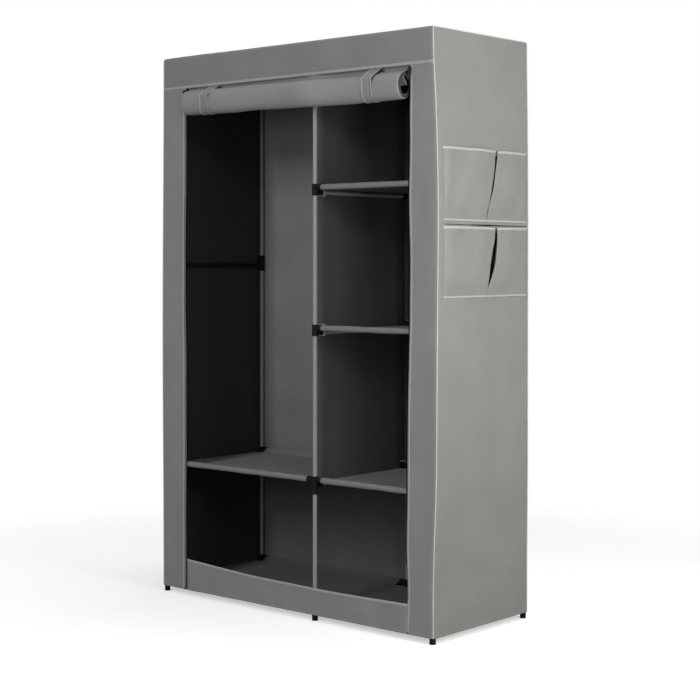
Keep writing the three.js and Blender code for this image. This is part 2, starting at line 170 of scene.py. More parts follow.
# Points, faces, flat cloth places and material numbers that become one mesh.
class Shape:
    def __init__(self):
        self.points, self.faces, self.flat, self.slots, self.count = [], [], [], [], 0

    def add(self, points, faces, flat, slots):
        self.faces += [tuple(int(i) + self.count for i in face) for face in faces]
        self.points.append(points)
        self.flat.append(flat)
        self.slots += [int(s) for s in slots]
        self.count += len(points)

    # A sheet through a grid of points. keep says which of its faces are there.
    def grid(self, points, flat, facing, slots=0, keep=None):
        n, m = points.shape[:2]
        index = np.arange(n * m).reshape(n, m)
        quads = np.stack([index[:-1, :-1], index[1:, :-1], index[1:, 1:], index[:-1, 1:]], -1).reshape(-1, 4)
        slots = np.broadcast_to(slots, (n - 1, m - 1)).reshape(-1)
        if keep is not None:
            quads, slots = quads[keep.reshape(-1)], slots[keep.reshape(-1)]
        points, flat = points.reshape(-1, 3), flat.reshape(-1, 2)
        a, b, c, d = (points[quads[:, k]] for k in range(4))
        outward = np.broadcast_to(facing, (n, m, 3)).reshape(-1, 3)[quads[:, 0]]
        if (np.cross(c - a, d - b) * outward).sum() < 0:
            quads = quads[:, ::-1]
        used, quads = np.unique(quads, return_inverse=True)
        self.add(points[used], quads.reshape(-1, 4), flat[used], slots)
        return self

    # A closed body through rings of points, with a cap at each end unless it closes on itself.
    def sweep(self, rings, slot=0, loop=False, across=None):
        n, k = rings.shape[:2]
        index = np.arange(n * k).reshape(n, k)
        nexts = np.roll(index, -1, 1)
        low, high = (index, np.roll(index, -1, 0)) if loop else (index[:-1], index[1:])
        low_next, high_next = (nexts, np.roll(nexts, -1, 0)) if loop else (nexts[:-1], nexts[1:])
        faces = np.stack([low, low_next, high_next, high], -1).reshape(-1, 4)
        points = rings.reshape(-1, 3)
        a, b, c, d = (points[faces[:, i]] for i in range(4))
        from_middle = a - points.mean(0)
        volume = (np.cross(b - a, c - a) * from_middle).sum() + (np.cross(c - a, d - a) * from_middle).sum()
        faces = [tuple(f) for f in faces]
        if not loop:
            faces += [tuple(index[0][::-1]), tuple(index[-1])]
        if volume < 0:
            faces = [tuple(reversed(f)) for f in faces]
        across = run_along(rings[0]) if across is None else np.asarray(across)
        flat = flat_grid(run_along(rings.mean(1)), across).reshape(-1, 2)
        self.add(points, faces, flat, [slot] * len(faces))

    def build(self, name, materials, body="wardrobe", slot="cover_cloth"):
        mesh = bpy.data.meshes.new(name)
        flat = np.concatenate(self.flat)
        mesh.from_pydata(np.concatenate(self.points).tolist(), [], self.faces)
        mesh.update()
        corners = np.zeros(len(mesh.loops), int)
        mesh.loops.foreach_get("vertex_index", corners)
        mesh.uv_layers.new(name="cloth").data.foreach_set("uv", flat[corners].astype(np.float32).ravel())
        mesh.polygons.foreach_set("material_index", np.array(self.slots, np.int32))
        mesh.polygons.foreach_set("use_smooth", np.ones(len(mesh.polygons), bool))
        for material in materials:
            mesh.materials.append(material)
        piece = add_object(name, mesh)
        if body:
            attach(piece, body)
        return piece


# Gives a sheet its thickness, on the side away from its face.
def thicken(piece, thickness=cloth_thickness, offset=-1, inner=0):
    solid = piece.modifiers.new("thickness", "SOLIDIFY")
    solid.thickness = thickness
    solid.offset = offset
    solid.material_offset = inner
    return piece


# Materials
def node(tree, kind, inputs=None, **settings):
    made = tree.nodes.new("ShaderNode" + kind)
    for key, value in settings.items():
        setattr(made, key, value)
    for key, value in (inputs or {}).items():
        if isinstance(value, bpy.types.NodeSocket):
            tree.links.new(value, made.inputs[key])
        else:
            made.inputs[key].default_value = value
    return made


def math_node(tree, operation, *values):
    return node(tree, "Math", dict(enumerate(values)), operation=operation).outputs[0]


# Noise over the flat cloth, or through space.
def speckle(tree, place, scale, detail, space="2D", **more):
    inputs = {"Vector": place, "Scale": scale, "Detail": detail, **more}
    return node(tree, "TexNoise", inputs, noise_dimensions=space).outputs[0]


# Maps one range of values onto another, and keeps to it.
def remap(tree, value, low=0, high=1, to_low=0, to_high=1, **settings):
    inputs = {"Value": value, "From Min": low, "From Max": high, "To Min": to_low, "To Max": to_high}
    return node(tree, "MapRange", inputs, **settings).outputs[0]


def bumped(tree, height, strength, distance, **more):
    inputs = {"Height": height, "Strength": strength, "Distance": distance, **more}
    return node(tree, "Bump", inputs).outputs[0]


def mixed(tree, factor, first, second):
    return node(tree, "Mix", {0: factor, 6: first, 7: second}, data_type="RGBA").outputs[2]


def tint(colour, by):
    return (*[min(1.0, c * by) for c in colour], 1)


def new_material(name):
    material = bpy.data.materials.new(name)
    material.use_nodes = True
    material.node_tree.nodes.clear()
    return material, material.node_tree


def finish_material(tree, bsdf_inputs):
    bsdf = node(tree, "BsdfPrincipled", bsdf_inputs)
    node(tree, "OutputMaterial", {"Surface": bsdf.outputs[0]})


# Dashes of thread along one line of the flat cloth: 1 on the thread, 0 elsewhere.
def stitches(tree, along, across, place):
    share = math_node(tree, "FRACT", math_node(tree, "DIVIDE", along, stitch_length))
    dash = math_node(tree, "LESS_THAN", share, 0.72)
    off = math_node(tree, "ABSOLUTE", math_node(tree, "SUBTRACT", across, place))
    near = math_node(tree, "SMOOTH_MIN", math_node(tree, "DIVIDE", off, stitch_width), 1.0, 0.1)
    return math_node(tree, "MULTIPLY", dash, math_node(tree, "SUBTRACT", 1.0, near))


# Non-woven cloth: matted fibres pressed together in rows of small dots. The low shade holds (low, high,
# share):
# from the high place down to the low one the colour falls to that share, as painted shade.
def nonwoven(name, colour, spread=0.1, seams=(), painted_low_shade=(), shine=1.0):
    material, tree = new_material(name)
    flat = node(tree, "UVMap", uv_map="cloth").outputs[0]
    blotch = speckle(tree, flat, 7, 3)
    mottle = speckle(tree, flat, 130, 4, Roughness=0.7)
    fibre = speckle(tree, flat, 1400, 2, Distortion=1.5)
    turn = {"Vector": flat, "Rotation": (0, 0, math.radians(45)), "Scale": (520, 520, 1)}
    dots = {"Vector": node(tree, "Mapping", turn).outputs[0], "Scale": 1, "Randomness": 0.08}
    cell = node(tree, "TexVoronoi", dots, voronoi_dimensions="2D").outputs["Distance"]
    dot = remap(tree, cell, 0.2, 0.36, 1, 0)
    share = math_node(tree, "MULTIPLY_ADD", mottle, 0.35, math_node(tree, "MULTIPLY", fibre, 0.2))
    share = remap(tree, math_node(tree, "MULTIPLY_ADD", blotch, 0.45, share), 0.3, 0.7)
    base = mixed(tree, share, tint(colour, 1 - spread), tint(colour, 1 + spread))
    base = mixed(tree, math_node(tree, "MULTIPLY", dot, 0.35), base, tint(colour, 0.8))
    height = math_node(tree, "MULTIPLY_ADD", fibre, 0.5, math_node(tree, "MULTIPLY", dot, -1.0))
    along, across = node(tree, "SeparateXYZ", {0: flat}).outputs[:2]
    for place in seams:
        thread = stitches(tree, along, across, place)
        base = mixed(tree, thread, base, tint(colour, 1.35))
        height = math_node(tree, "MULTIPLY_ADD", thread, 4.0, height)
    if painted_low_shade:
        # Painted shade: the colour darkens downwards.
        z = node(tree, "SeparateXYZ", {0: node(tree, "TexCoord").outputs["Object"]}).outputs[2]
        for low, high, kept in painted_low_shade:
            base = mixed(tree, remap(tree, z, low, high, 1 - kept, 0), base, (0, 0, 0, 1))
    coarse = bumped(tree, speckle(tree, flat, 26, 4, Roughness=0.55), 0.5, 1.2 * mm)
    finish_material(tree, {
        "Base Color": base, "Roughness": remap(tree, dot, to_low=0.92, to_high=0.72),
        "Normal": bumped(tree, height, 0.5, 0.12 * mm, Normal=coarse),
        "Specular IOR Level": 0.25 * shine, "Sheen Weight": 0.08 * shine, "Sheen Roughness": 0.6,
    })
    return material


# Binding tape: fine ribs across it, and a row of stitches near its inner edge.
def ribbed_tape(name, colour, places=()):
    material, tree = new_material(name)
    flat = node(tree, "UVMap", uv_map="cloth").outputs[0]
    along, across = node(tree, "SeparateXYZ", {0: flat}).outputs[:2]
    wave = math_node(tree, "SINE", math_node(tree, "MULTIPLY", along, 2 * math.pi / rib_pitch))
    grain, blotch = speckle(tree, flat, 700, 2), speckle(tree, flat, 35, 3)
    share = math_node(tree, "MULTIPLY_ADD", grain, 0.5, math_node(tree, "MULTIPLY", blotch, 0.5))
    base = mixed(tree, share, tint(colour, 0.82), tint(colour, 1.16))
    height = math_node(tree, "MULTIPLY_ADD", wave, 0.25, grain)
    for place in places:
        thread = stitches(tree, along, across, place)
        base = mixed(tree, math_node(tree, "MULTIPLY", thread, 0.8), base, tint(colour, 0.62))
        height = math_node(tree, "MULTIPLY_ADD", thread, 2.5, height)
    finish_material(tree, {
        "Base Color": base, "Roughness": 0.8, "Normal": bumped(tree, height, 0.45, 0.15 * mm),
        "Specular IOR Level": 0.3, "Sheen Weight": 0.1, "Sheen Roughness": 0.5,
    })
    return material


# Painted tube, black plastic, or both on one node: the tube shows between two distances from the middle row.
def hard_material(name, kind, tee=False, light=1.0):
    material, tree = new_material(name)
    place = node(tree, "TexCoord").outputs["Object"]
    dust = speckle(tree, place, 60, 5, "3D", Roughness=0.65)
    stretch = node(tree, "Mapping", {"Vector": place, "Scale": (90, 90, 2200)}).outputs[0]
    scuffs = remap(tree, speckle(tree, stretch, 1, 3, "3D"), 0.68, 0.78)
    # The light factor scales the steel colour. Above 1 it is painted light.
    steel = mixed(tree, dust, tint(steel_grey, 0.9 * light), tint(steel_grey, 1.12 * light))
    steel = mixed(tree, math_node(tree, "MULTIPLY", scuffs, 0.35), steel, tint(steel_grey, 1.5 * light))
    black = mixed(tree, dust, tint(plastic_black, 0.8), tint(plastic_black, 1.5))
    black = mixed(tree, math_node(tree, "MULTIPLY", scuffs, 0.25), black, tint(plastic_black, 3.0))
    if kind == "rung":
        y = node(tree, "SeparateXYZ", {0: place}).outputs[1]
        off = math_node(tree, "ABSOLUTE", math_node(tree, "SUBTRACT", y, (row_front + row_back) / 2))
        metal = math_node(tree, "LESS_THAN", off, (row_back - row_front) / 2 - socket_reach - 0.05 * mm)
        if tee:
            metal = math_node(tree, "MULTIPLY", metal, math_node(tree, "GREATER_THAN", off, tee_half))
        base = mixed(tree, metal, black, steel)
        rough = remap(tree, metal, to_low=0.6, to_high=0.4)
    else:
        metal, base, low_rough = (1.0, steel, 0.36) if kind == "tube" else (0.0, black, 0.55)
        rough = remap(tree, dust, to_low=low_rough, to_high=low_rough + 0.12)
    finish_material(tree, {
        "Base Color": base, "Roughness": rough,
        "Normal": bumped(tree, speckle(tree, place, 900, 2, "3D"), 0.25, 0.08 * mm),
        "Specular IOR Level": remap(tree, metal, to_low=0.12, to_high=0.45),
    })
    return material


# Dark enamel on zinc, worn to bright metal in small specks.
def enamel(name):
    material, tree = new_material(name)
    wear = speckle(tree, node(tree, "TexCoord").outputs["Object"], 420, 4, "3D", Roughness=0.7)
    base = mixed(tree, remap(tree, wear, 0.6, 0.7), (0.07, 0.07, 0.07, 1), (0.3, 0.3, 0.3, 1))
    bump = bumped(tree, wear, 0.3, 0.1 * mm)
    finish_material(tree, {"Base Color": base, "Roughness": 0.34, "Metallic": 0.7, "Normal": bump})
    return material


cloth_grey = (0.285, 0.285, 0.277)
back_grey = (0.28, 0.274, 0.276)
# The near-black grey below is painted shade for the cloth's inside faces.
painted_shade_grey = (0.036, 0.036, 0.036)
shelf_grey = (0.225, 0.225, 0.22)
tape_grey = (0.41, 0.41, 0.4)
piping_grey = (0.66, 0.66, 0.64)
steel_grey = (0.3, 0.3, 0.295)
plastic_black = (0.01, 0.01, 0.0105)

outer_cloth = nonwoven("outer_cloth", cloth_grey, seams=(14 * mm,))
plain_cloth = nonwoven("plain_cloth", cloth_grey)
# The roll's cloth is the cover cloth made 1.08 times lighter: painted light.
roll_cloth = nonwoven("roll_cloth", [c * 1.08 for c in cloth_grey])
# The header's cloth is the cover cloth darkened to 0.91: painted shade.
header_cloth = nonwoven("header_cloth", [c * 0.91 for c in cloth_grey])
# The back's lining darkens towards the bottom and under the main shelf: painted shade.
back_lining = nonwoven("back_lining", back_grey, spread=0.12, painted_low_shade=((0.4, 0.9, 0.78), (0.36, 0.41, 0.6)))
# The inside faces of the cover, door sheet and pockets use a near-black copy of the cloth: painted shade.
shaded_inner_cloth = nonwoven("shaded_inner_cloth", painted_shade_grey, spread=0.15)
# The divider is a darker copy of the shelf cloth: painted shade.
shaded_divider_cloth = nonwoven("shaded_divider_cloth", (0.14, 0.139, 0.137), spread=0.15)
shelf_cloth = nonwoven("shelf_cloth", shelf_grey, spread=0.12)
# The floor cloth is the shelf cloth darkened to 0.42: painted shade.
floor_cloth = nonwoven("floor_cloth", [c * 0.42 for c in shelf_grey], spread=0.15)
# Shelf undersides take a near-black copy of the shelf cloth: painted shade.
shelf_underside_painted_shade = nonwoven("shelf_underside_painted_shade", (0.05, 0.05, 0.049), spread=0.12)
# Near-black cloth without sheen is painted shade: in the pocket slits and mouth, the roll's inner turns and
# the jambs' inner strips.
painted_shade_cloth = nonwoven("painted_shade_cloth", (0.004, 0.004, 0.004), spread=0.15, shine=0)
roll_edge_shade_cloth = nonwoven("roll_edge_shade_cloth", (0.09, 0.09, 0.088), spread=0.15)
binding_tape = ribbed_tape("binding_tape", tape_grey, places=(7.4 * mm,))
piping_tape = ribbed_tape("piping_tape", piping_grey)
pocket_tape = ribbed_tape("pocket_tape", (0.48, 0.48, 0.46), places=(5.4 * mm,))
soft_tape = ribbed_tape("soft_tape", (0.32, 0.32, 0.31))
zip_tape = ribbed_tape("zip_tape", (0.17, 0.17, 0.165))
tube_paint = hard_material("tube_paint", "tube")
black_plastic = hard_material("black_plastic", "plastic")
# The rungs' steel is 1.8 times lighter than the other tubes: painted light on the tubes under the shelves.
rung_finish_and_painted_light = hard_material("rung_finish_and_painted_light", "rung", light=1.8)
rung_tee_finish_and_painted_light = hard_material("rung_tee_finish_and_painted_light", "rung", tee=True, light=1.8)
zip_enamel = enamel("zip_enamel")

for name, obj in frame["nodes"].items():
    if name.startswith(("post_", "cross_", "hanging_")):
        finish = tube_paint
    # The left side rung's steel tube is given black plastic: painted shade.
    elif name == "rung_left_side":
        finish = black_plastic
    elif name.startswith("rung_"):
        finish = rung_tee_finish_and_painted_light if name in ("rung_left_top", "rung_middle_top") else rung_finish_and_painted_light
    elif name.startswith("zip_"):
        finish = zip_enamel
    else:
        continue
    for material_slot in obj.material_slots:
        material_slot.material = finish


# Cover
# The front right corner line stands out a little below the top, as slack cloth does.
def corner_out(z):
    return curve_through([
        (0.02, 0), (0.14, 0), (0.28, 4), (0.42, 10), (0.7, 13), (0.93, 15), (1.25, 17), (1.34, 15),
        (1.49, 9), (1.58, 4), (1.68, 0), (1.7, 0),
    ], z) * mm


# Rounds the sharp box of the cover and puckers its top seams. Returns the places and their outward ways.
def on_cover(points):
    low = np.array([left, front, -1]) + edge_radius
    high = np.array([right, back, top]) - edge_radius
    core = np.clip(points, low, high)
    out = unit(points - core)
    places = core + edge_radius * out
    x, y, z = points[..., 0], points[..., 1], points[..., 2]
    for side, x_side, lean in ((1, right, 0.75), (-1, left, 0.5)):
        share = ease(side * x, side * x_side - 0.22, side * x_side)
        share = share * (1 - ease(y, front, back - 0.02) * lean)
        amount = corner_out(z) if side > 0 else 5 * mm * np.sin(np.pi * np.clip(z / top, 0, 1)) ** 2
        places[..., 0] += side * share * amount * ease(z, top - 0.001, top - 0.12)
    pucker = 0.9 * noise(x / 0.021, y / 0.021, 5) + 1.4 * noise(x / 0.2, y / 0.2, 6)
    near_front = hump(y, front, 0.016) + hump(y, back, 0.016)
    places[..., 2] += mm * np.maximum(pucker - 0.6, -0.6) * hump(z, top, 0.014) * np.clip(near_front, 0, 1)
    return places, out


# A panel of the cover, with folds that die out at its sewn edges.
def panel(origin, along, up, us, vs, folds, sewn):
    u, v = np.meshgrid(us, vs, indexing="ij")
    points = np.array(origin) + u[..., None] * np.array(along, float) + v[..., None] * np.array(up, float)
    places, out = on_cover(points)
    hold = np.ones_like(u)
    for edge, distance in (("start", u), ("end", us[-1] - u), ("low", v), ("high", vs[-1] - v)):
        if edge in sewn:
            hold = hold * ease(distance, 0, 0.05)
    facing = np.cross(along, up)
    if (facing * out).sum() < 0:
        facing = -facing
    return u, v, places + (hold * folds(u, v))[..., None] * facing, out


# Builds a panel's cloth and hides the solid that it stands for.
def cover_piece(name, node_name, u, v, places, out, cloth=outer_cloth, lining=shaded_inner_cloth):
    shape = Shape().grid(places, np.stack([u, v], -1), out)
    piece = thicken(shape.build(name, [cloth, lining]), inner=1)
    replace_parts(piece, node_name)
    return piece


# Tape folded over a cloth edge. edge, into and out are rows of places and of ways.
def fold_tape(shape, edge, into, out, width, proud, slot=0):
    into, out = unit(into), unit(out)
    middle = edge - out * cloth_thickness / 2
    face = [
        (width, 0.55 * proud), (width * 0.93, proud), (width * 0.5, proud), (0.4 * mm, proud),
        (-0.9 * proud, 0.45 * proud),
    ]
    profile = face + [(d, -n) for d, n in reversed(face)]
    rings = np.stack([middle + into * d + out * n for d, n in profile], 1)
    shape.sweep(rings, slot, across=[d if n > 0 else -d - 2 * mm for d, n in profile])


tapes, welts = Shape(), Shape()
binding_slot, zip_slot, hem_slot, shade_slot = range(4)
tape_materials = [binding_tape, zip_tape, plain_cloth, painted_shade_cloth]


# Tape over a panel's edge, given with the next row of places. It is a plain hem unless it says otherwise.
def bind_edge(edge, next_row, out, width=6 * mm, proud=0.9 * mm, slot=hem_slot):
    fold_tape(tapes, edge, next_row - edge, out, width, proud, slot)


# A narrow welt along a seam, standing out of it.
def welt(line, out, across):
    rise, half = 1.9 * mm, 1.5 * mm
    out, across = unit(out), unit(across)
    angles = np.linspace(0, 2 * np.pi, 8, endpoint=False)
    welts.sweep(np.stack([
        line + out * (rise * 0.35 + rise * np.cos(a)) + across * half * np.sin(a) for a in angles
    ], 1))


corner_seams = ("start", "end", "high")


def side_folds(seed):
    def folds(u, v):
        bow = -3.0 * np.sin(np.pi * u / depth_size)
        upright = 1.5 * noise(u / 0.12, v / 0.6, seed) + 0.7 * noise(u / 0.05, v / 0.35, seed + 1)
        slant = 0.8 * noise((u + v * 0.35) / 0.09, (v - u * 0.35) / 0.4, seed + 2)
        hang = 2.5 * noise(u / 0.11, 0.3, seed + 3) * np.exp(-v / 0.16)
        inmost = curve_through([(0, 0.3), (0.08, 0.3), (0.2, -9), (1.5, -9), (1.62, 0.4), (1.7, 0.4)], v)
        return mm * np.maximum(bow + upright + slant + hang, inmost)
    return folds


def make_side(side, x, sign, seed):
    us, vs = stops(0, depth_size, 0.012), stops(0, cover_height, 0.014)
    u, v, places, out = panel((x, front, hem), (0, 1, 0), (0, 0, 1), us, vs, side_folds(seed), corner_seams)
    piece = cover_piece(f"cover_{side}_cloth", f"cover_{side}", u, v, places, out)
    bind_edge(places[:, 0], places[:, 1], out[:, 1])
    welt(places[:, -1], out[:, -1], np.array([-sign, 0, 1.0]))
    return piece, places, out


side_right, right_places, right_out = make_side("right", right, 1, 11)
side_left, left_places, left_out = make_side("left", left, -1, 31)
for places, out in ((right_places, right_out), (left_places, left_out)):
    for end in (0, -1):
        welt(places[end], out[end], np.cross(out[end], (0, 0, 1.0)))


# The bow keeps the back clear of the shelf sleeves and the collars.
def back_folds(u, v):
    bow = 1.6 + 0.6 * np.sin(np.pi * u / width_size)
    post = 2.2 * hump(u, right - column["middle"], 0.02)
    upright = 1.6 * noise(u / 0.16, v / 0.7, 51) + 0.8 * noise(u / 0.06, v / 0.4, 52)
    return mm * (bow + post + upright + 2.5 * noise(u / 0.13, 0.7, 53) * np.exp(-v / 0.16))


us, vs = stops(0, width_size, 0.016), stops(0, cover_height, 0.016)
u, v, places, out = panel((right, back, hem), (-1, 0, 0), (0, 0, 1), us, vs, back_folds, corner_seams)
back_piece = cover_piece("cover_back_cloth", "cover_back", u, v, places, out, lining=back_lining)
bind_edge(places[:, 0], places[:, 1], out[:, 1])


def top_folds(u, v):
    sag = -5.0 * np.sin(np.pi * v / depth_size) * (0.6 + 0.4 * np.abs(np.sin(np.pi * u / width_size * 2)))
    return mm * (sag + 1.6 * noise(u / 0.14, v / 0.1, 61) + 0.9 * noise(u / 0.06, v / 0.05, 62))


us, vs = stops(0, width_size, 0.014), stops(0, depth_size, 0.012)
u, v, places, out = panel((left, front, top), (1, 0, 0), (0, 1, 0), us, vs, top_folds, ("low", *corner_seams))
top_piece = cover_piece("cover_top_cloth", "cover_top", u, v, places, out, cloth=plain_cloth)


# Front panels
def header_folds(u, v):
    return mm * (
        0.9 * noise(u / 0.17, v / 0.2, 71) + 0.5 * noise(u / 0.045, v / 0.06, 72)
        - 0.8 * np.exp(-v / 0.02) + 0.8 * noise(u / 0.1, 0.2, 73) * np.exp(-v / 0.03)
    )


us, vs = stops(0, width_size, 0.012), stops(0, top - header_edge, 0.01, ends=(2, 4, 6, 8, 11))
u, v, places, out = panel(
    (left, front, header_edge), (1, 0, 0), (0, 0, 1), us, vs, header_folds, corner_seams
)
header_piece = cover_piece("header_panel", "header", u, v, places, out, cloth=header_cloth)
bind_edge(places[:, 0], places[:, 1], out[:, 1], 8 * mm, 1.1 * mm, binding_slot)


# The wavy inner edges of the jambs, as (height, shift in mm). They are straight where the sliders stop.
jamb_waves = {
    "left": [(0.02, 0), (0.2, 0), (0.6, 1), (1.0, -1), (1.3, 1), (1.45, 0), (1.6, 0)],
    "right": [
        (0.02, -8.5), (0.09, -5.5), (0.195, -5.5), (0.25, -9.8), (0.39, -11), (0.53, -13), (0.67, -11),
        (0.86, -7), (0.95, -7.5), (1.06, -7), (1.22, -11), (1.41, -4), (1.48, -2), (1.53, 0), (1.6, 0),
    ],
}


def make_jamb(side, edge, outer, sign, seed):
    width, height = abs(outer - edge), header_edge - hem
    us = stops(0, width, 0.01, ends=(2, 4, 6, 8, 11))
    vs = stops(0, height + 5 * mm, 0.012)

    def folds(u, v):
        free = (1 - np.clip(u / width, 0, 1)) ** 2
        wave = 2.2 * noise(v / 0.23, 0.5, seed) + 1.2 * noise(v / 0.09, 0.5, seed + 1)
        body = 1.2 * noise(u / 0.07, v / 0.5, seed + 2) + 0.5 * noise(u / 0.03, v / 0.2, seed + 3)
        steady = ease(v, 0.1, 0.2) * ease(v, height, height - 0.12)
        return mm * ((free * wave + body) * steady - 1.9 * ease(v, height - 0.03, height - 0.004))

    u, v, places, out = panel((edge, front, hem), (sign, 0, 0), (0, 0, 1), us, vs, folds, ("end",))
    places[..., 0] += curve_through(jamb_waves[side], v + hem) * mm * (1 - np.clip(u / width, 0, 1)) ** 2
    piece = cover_piece(f"jamb_{side}_cloth", f"jamb_{side}", u, v, places, out)
    bind_edge(places[:, 0], places[:, 1], out[:, 1])
    inner, into, way = places[0], unit(places[1] - places[0]), unit(out[1])
    if side == "left":
        fold_tape(tapes, inner, into, way, 7.5 * mm, 0.9 * mm, zip_slot)
        fold_tape(tapes, inner + into * 7.4 * mm + way * 0.3 * mm, into, way, 6.5 * mm, 0.9 * mm)
    else:
        fold_tape(tapes, inner, into, way, 6.5 * mm, 0.9 * mm)
    # A near-black strip just inside each jamb's edge is painted shade. The right jamb's strip stops above the
    # dropped roll.
    dark = slice(None) if side == "left" else inner[:, 2] > 0.21
    shade_edge = (inner - into * 4 * mm - way * 0.4 * mm)[dark]
    fold_tape(tapes, shade_edge, into[dark], way[dark], 4.2 * mm, 0.5 * mm, shade_slot)
    return piece, inner, into, way


jamb_left, *left_rows = make_jamb("left", opening_left, left, -1, 81)
jamb_right, *right_rows = make_jamb("right", opening_right, right, 1, 91)

# Zip teeth along the jambs' inner edges
teeth = Shape()
tooth = [(0.2, 0.1), (0.2, 1.1), (0.7, 1.5), (2.3, 1.5), (2.9, 1.0), (2.9, 0.1)]
for rows in (left_rows, right_rows):
    for h in np.arange(skirt_high.z + 4 * mm, header_edge - 3 * mm, 2.0 * mm):
        place, into, way = (
            np.array([np.interp(h, rows[0][:, 2], row[:, k]) for k in range(3)]) for row in rows
        )
        ring = np.array([place + into * d * mm + way * e * mm for d, e in tooth])
        teeth.sweep(np.array([ring + np.array([0, 0, s * mm]) for s in (-0.55, 0.55)]))
teeth_piece = teeth.build("zip_teeth", [zip_tape])


def skirt_rise(x):
    rises = [(-0.45, 8), (-0.3, 0), (-0.15, -7), (0, -9), (0.17, -11), (0.32, -9), (0.45, -6)]
    return curve_through(rises, x) * mm


def skirt_folds(u, v):
    sway = 1.6 * noise(u / 0.16, v / 0.2, 101) + 0.8 * noise(u / 0.05, v / 0.09, 102)
    return mm * (0.8 + sway - 0.9 * ease(v, 0.04, 0.06))


skirt_lap = 8 * mm
skirt_width = skirt_high.x - skirt_low.x + 2 * skirt_lap
us, vs = stops(0, skirt_width, 0.012), stops(0, skirt_high.z - hem, 0.01, ends=(2, 4, 6, 8))
skirt_corner = (skirt_low.x - skirt_lap, front, hem)
u, v, places, out = panel(skirt_corner, (1, 0, 0), (0, 0, 1), us, vs, skirt_folds, ())
places[..., 2] += skirt_rise(places[..., 0]) * (v / vs[-1])
behind = 1 - ease(np.minimum(u, skirt_width - u), skirt_lap, 2 * skirt_lap)
places[..., 1] = places[..., 1] * (1 - behind) + (front + 1.6 * mm) * behind
skirt_piece = cover_piece("skirt_cloth", "skirt", u, v, places, out)
bind_edge(places[:, -1], places[:, -2], out[:, -2], 7 * mm, 1.1 * mm, binding_slot)
bind_edge(places[:, 0], places[:, 1], out[:, 1])
tapes_piece = tapes.build("edge_bindings", tape_materials)
welts_piece = welts.build("corner_welts", [piping_tape])

# Rolled door
roll_y = (roll_low.y + roll_high.y) / 2
roll_z = (roll_low.z + roll_high.z) / 2
roll_depth = (roll_high.y - roll_low.y) / 2
roll_height = (roll_high.z - roll_low.z) / 2
roll_pitch = 1.8 * mm
roll_turns = 8.25
roll_start, roll_end = roll_low.x - 14 * mm, roll_high.x - 5.5 * mm


# How far the roll sinks back into the opening along its length. The middle post holds it forward.
def roll_back(x):
    return 19.5 * mm - 16.5 * mm * hump(np.asarray(x, float), column["middle"], 0.1)


# How far the roll rides up between the ties, and sags beside them.
def roll_rise(x):
    return curve_through([
        (-0.43, 8), (-0.3, 6), (-0.22, 4.5), (-0.114, 5.5), (-0.01, 2), (0.09, 0), (0.19, -0.7), (0.27, -2),
        (0.36, -1), (0.46, 0),
    ], x) * mm


# A place on the roll. Turn 0 is its back, 1/4 its underside, 1/2 its front.
def roll_point(x, turn, lift=0.0):
    x, turn = np.broadcast_arrays(np.asarray(x, float), np.asarray(turn, float))
    angle = 2 * np.pi * turn
    end = np.minimum(x - roll_start, roll_end - x)
    soft = np.exp(-np.maximum(end, 0) / 0.006)
    growth = lift - 0.45 * mm - turn * roll_pitch
    outer = 1 - ease(turn, 0.9, 1.3)
    crease = 0.9 * noise(x / 0.16, np.cos(angle) * 1.3 + np.sin(angle) * 1.1, 111)
    crease = crease + 0.45 * noise(x / 0.05, angle * 0.9, 112)
    growth = growth + outer * mm * (0.35 + crease * 0.8) * (1 - soft)
    growth = growth - soft * 2.2 * mm * (1 - turn / roll_turns * 1.6)
    y = roll_y + (roll_depth + growth) * np.cos(angle) + roll_back(x)
    z = roll_z + roll_rise(x) - (roll_height + growth) * np.sin(angle)
    return np.stack([x, y, z], -1)


roll_shape = Shape()
for low, high, steps, columns in (
    (0.0, 1.5, 60, stops(roll_start, roll_end, 0.012)),
    (1.5, roll_turns, 190, stops(roll_start, roll_end, 0.03, ends=(4, 10, 22))),
):
    x, turn = np.meshgrid(columns, np.linspace(low, high, steps), indexing="ij")
    places = roll_point(x, turn)
    flat = flat_grid(columns, run_along(places[len(columns) // 2]))
    centre = np.stack([x, roll_y + roll_back(x), roll_z + roll_rise(x)], -1)
    # Cloth outside, with tape at the right end. The turns inside are near-black: painted shade.
    band = (roll_end - columns[:-1] < 4.5 * mm).astype(int) if low == 0 else np.full(len(columns) - 1, 2)
    roll_shape.grid(places, flat, places - centre, slots=band[:, None])
roll_materials = [roll_cloth, soft_tape, painted_shade_cloth, roll_edge_shade_cloth, roll_edge_shade_cloth, roll_edge_shade_cloth]
roll_piece = roll_shape.build("door_roll_cloth", roll_materials, body="door")
# The cloth's cut edges, seen at the roll's ends, are darkened: painted shade.
thicken(roll_piece, 0.85 * mm, offset=0).modifiers["thickness"].material_offset_rim = 3
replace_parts(roll_piece, "door_roll")

# The stretch of the door between the header and the roll
drop = next(j for j in frame["joints"] if j["name"] == "door_drop")["range_m"][1]
blend_top, blend_low = header_edge - 1 * mm, roll_z + 3 * mm
xs = stops(sheet_low.x, sheet_high.x, 0.016, ends=(3, 8))
zs = np.linspace(sheet_high.z, sheet_low.z, 90)
x, z = np.meshgrid(xs, zs, indexing="ij")
fall = ease(z, blend_top, blend_low) * drop
wave = 1.0 * noise(x / 0.15, fall / 0.5, 121) + 0.5 * noise(x / 0.05, fall / 0.2, 122)
y = (sheet_low.y + sheet_high.y) / 2 + mm * (0.6 + 0.5 * wave) * ease(z, blend_top, blend_top - 6 * mm)
